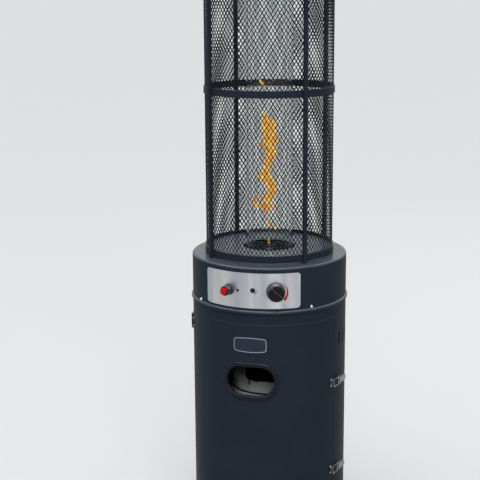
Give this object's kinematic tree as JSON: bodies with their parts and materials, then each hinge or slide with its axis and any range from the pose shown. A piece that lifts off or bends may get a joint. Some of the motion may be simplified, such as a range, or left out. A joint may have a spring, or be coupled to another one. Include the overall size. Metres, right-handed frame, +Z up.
{
  "type": "gas patio heater",
  "caption": "Free-standing gas patio heater: round bottle housing with curved hinged door, control drum with knob and igniter, and a glass flame tube in a tall mesh cage.",
  "frame": {"origin": "on the floor under the vertical axis of the housing", "axes": "+Z up along the housing axis, -Y towards the front with the door and controls, +X to the viewer's right"},
  "size_m": [0.4342, 0.4762, 1.8042],
  "materials": {
    "dark_paint": "satin dark blue-grey coating",
    "mesh_paint": "grey heat-resistant coating",
    "table_paint": "satin grey heat-resistant coating",
    "rim_black": "black edging",
    "inner_steel": "bare sheet steel",
    "brushed_panel": "brushed",
    "plain_plate": "satin",
    "zinc": "bright zinc",
    "bright_screw": "bright",
    "gloss_black": "gloss",
    "base_ring_grey": "satin grey",
    "button_red": "gloss",
    "lens_red": "gloss",
    "brass_parts": "machined",
    "burner_steel": "heat-darkened",
    "flame_glass": "clear heat-resistant",
    "bottle_paint": "worn grey paint",
    "wheel_plastic": "matte",
    "wheel_tyre": "matte",
    "regulator_cast": "cast",
    "foot_rubber": "matte",
    "hose_rubber": "matte"
  },
  "bodies": {
    "heater_body": {"housing_shell": "dark_paint", "control_drum": "dark_paint", "base_pan": "dark_paint", "cage_base_ring": "dark_paint", "cage_middle_ring": "dark_paint", "cage_top_ring": "dark_paint", "cage_posts": "dark_paint", "top_cap": "dark_paint", "wheel_brackets": "dark_paint", "hinge_frame_leaves": "dark_paint", "lower_mesh": "mesh_paint", "upper_mesh": "mesh_paint", "burner_table": "table_paint", "door_jambs": "inner_steel", "joint_ring": "inner_steel", "heat_shield": "inner_steel", "glass_seat": "inner_steel", "glass_spider": "inner_steel", "control_panel": "brushed_panel", "hinge_pins": "zinc", "latch_bases": "zinc", "drum_screws": "bright_screw", "cage_screws": "bright_screw", "wheel_bolts": "bright_screw", "igniter_body": "gloss_black", "igniter_nut": "gloss_black", "knob_base_ring": "base_ring_grey", "sight_lens": "lens_red", "gas_valve": "brass_parts", "gas_jet": "brass_parts", "gas_pipe": "brass_parts", "bottle_valve": "brass_parts", "burner_leads": "brass_parts", "burner_cup": "burner_steel", "burner_head": "burner_steel", "pilot_assembly": "burner_steel", "glass_tube": "flame_glass", "gas_bottle": "bottle_paint", "bottle_collar": "bottle_paint", "regulator": "regulator_cast", "rubber_feet": "foot_rubber", "gas_hose": "hose_rubber"},
    "door": {"front_door": "dark_paint", "opening_rim": "rim_black", "door_plate": "plain_plate", "hinge_door_leaves": "dark_paint", "latch_keepers": "zinc"},
    "upper_lever": {"upper_latch_lever": "zinc"},
    "upper_loop": {"upper_latch_loop": "zinc"},
    "lower_lever": {"lower_latch_lever": "zinc"},
    "lower_loop": {"lower_latch_loop": "zinc"},
    "knob_carrier": {"stem_washer": "bright_screw"},
    "knob": {"control_knob": "gloss_black", "valve_stem": "brass_parts"},
    "igniter": {"igniter_button": "button_red"},
    "left_wheel": {"left_wheel_hub": "wheel_plastic", "left_wheel_tyre": "wheel_tyre"},
    "right_wheel": {"right_wheel_hub": "wheel_plastic", "right_wheel_tyre": "wheel_tyre"},
    "handwheel": {"bottle_handwheel": "wheel_plastic"}
  },
  "joints": [
    {"name": "door_swing", "type": "hinge", "parent": "heater_body", "child": "door", "pos_m": [-0.2007, -0.07251, 0.38], "axis": [0, 0, -1], "range_deg": [0, 120]},
    {"name": "upper_latch_open", "type": "hinge", "parent": "heater_body", "child": "upper_lever", "pos_m": [0.20725, -0.0599, 0.492], "axis": [0, 0, -1], "range_deg": [0, 100]},
    {"name": "upper_loop_swing", "type": "hinge", "parent": "upper_lever", "child": "upper_loop", "pos_m": [0.21004, -0.04823, 0.492], "axis": [0, 0, -1], "range_deg": [-111, 0]},
    {"name": "lower_latch_open", "type": "hinge", "parent": "heater_body", "child": "lower_lever", "pos_m": [0.20725, -0.0599, 0.242], "axis": [0, 0, -1], "range_deg": [0, 100]},
    {"name": "lower_loop_swing", "type": "hinge", "parent": "lower_lever", "child": "lower_loop", "pos_m": [0.21004, -0.04823, 0.242], "axis": [0, 0, -1], "range_deg": [-111, 0]},
    {"name": "knob_push", "type": "slide", "parent": "heater_body", "child": "knob_carrier", "axis": [-0.319, 0.9478, 0], "range_m": [0, 0.004], "stiffness_N_per_m": 900},
    {"name": "knob_turn", "type": "hinge", "parent": "knob_carrier", "child": "knob", "pos_m": [0.06698, -0.19903, 0.768], "axis": [0.319, -0.9478, 0], "range_deg": [-138, 84]},
    {"name": "igniter_push", "type": "slide", "parent": "heater_body", "child": "igniter", "axis": [0.2706, 0.9627, 0], "range_m": [0, 0.007], "stiffness_N_per_m": 800},
    {"name": "left_wheel_spin", "type": "hinge", "parent": "heater_body", "child": "left_wheel", "pos_m": [-0.15, 0.20253, 0.0405], "axis": [1, 0, 0], "continuous": true},
    {"name": "right_wheel_spin", "type": "hinge", "parent": "heater_body", "child": "right_wheel", "pos_m": [0.15, 0.20253, 0.0405], "axis": [1, 0, 0], "continuous": true},
    {"name": "bottle_valve_turn", "type": "hinge", "parent": "heater_body", "child": "handwheel", "pos_m": [0, 0, 0.54], "axis": [0, 0, 1], "range_deg": [-540, 0]}
  ],
  "couplings": [
    {"joint": "upper_loop_swing", "follows": "upper_latch_open", "ratio": -1.1},
    {"joint": "lower_loop_swing", "follows": "lower_latch_open", "ratio": -1.1}
  ]
}
